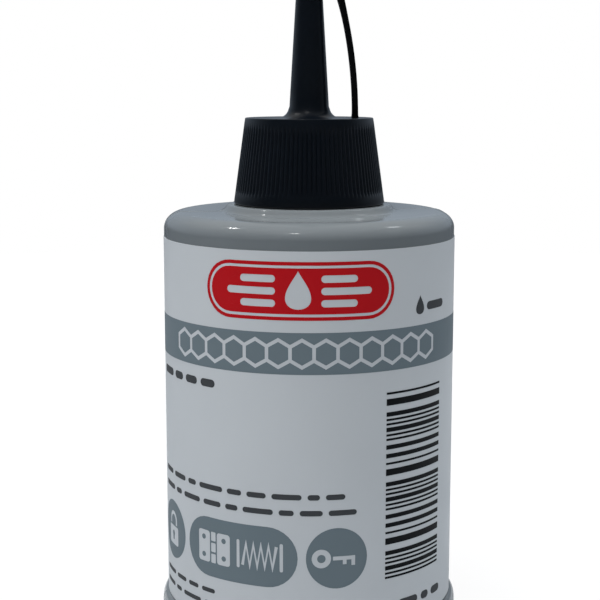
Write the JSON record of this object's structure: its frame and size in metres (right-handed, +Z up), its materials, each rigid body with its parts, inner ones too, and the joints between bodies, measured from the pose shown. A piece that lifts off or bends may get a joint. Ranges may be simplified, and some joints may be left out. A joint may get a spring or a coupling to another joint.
{
  "type": "graphite lubricant bottle",
  "caption": "Small round squeeze bottle of graphite grease with a wrap label, a ribbed screw-on nozzle cap with a long tapered spout, and a tip cap on a strap.",
  "frame": {"origin": "centre of the circle the bottle stands on, at the level of its standing ring", "axes": "+Z up along the bottle's axis; +X towards the strap; the label's front faces -Y"},
  "size_m": [0.0414, 0.0414, 0.0983],
  "materials": {
    "grey_bottle_plastic": "satin",
    "printed_label": "satin",
    "graphite_paste": "gloss",
    "washer_foam": "matte",
    "nozzle_plastic": "satin",
    "strap_plastic": "satin",
    "tip_cap_plastic": "satin"
  },
  "bodies": {
    "bottle": {"bottle_body": "grey_bottle_plastic", "wrap_label": "printed_label", "graphite_grease": "graphite_paste"},
    "washer": {"sealing_washer": "washer_foam"},
    "nozzle": {"nozzle_cap": "nozzle_plastic", "tether_strap": "strap_plastic"},
    "tip": {"tip_cap": "tip_cap_plastic"}
  },
  "joints": [
    {"name": "cap_rise", "type": "slide", "parent": "bottle", "child": "washer", "axis": [0, 0, 1], "range_m": [0, 0.00525]},
    {"name": "cap_turn", "type": "hinge", "parent": "washer", "child": "nozzle", "pos_m": [0, 0, 0.072], "axis": [0, 0, 1], "range_deg": [0, 630]},
    {"name": "tip_cap_pull", "type": "slide", "parent": "nozzle", "child": "tip", "axis": [0, 0, 1], "range_m": [0, 0.0067], "deforming": ["tether_strap"]}
  ],
  "couplings": [
    {"joint": "cap_rise", "follows": "cap_turn", "m_per_rad": 0.00047746}
  ]
}
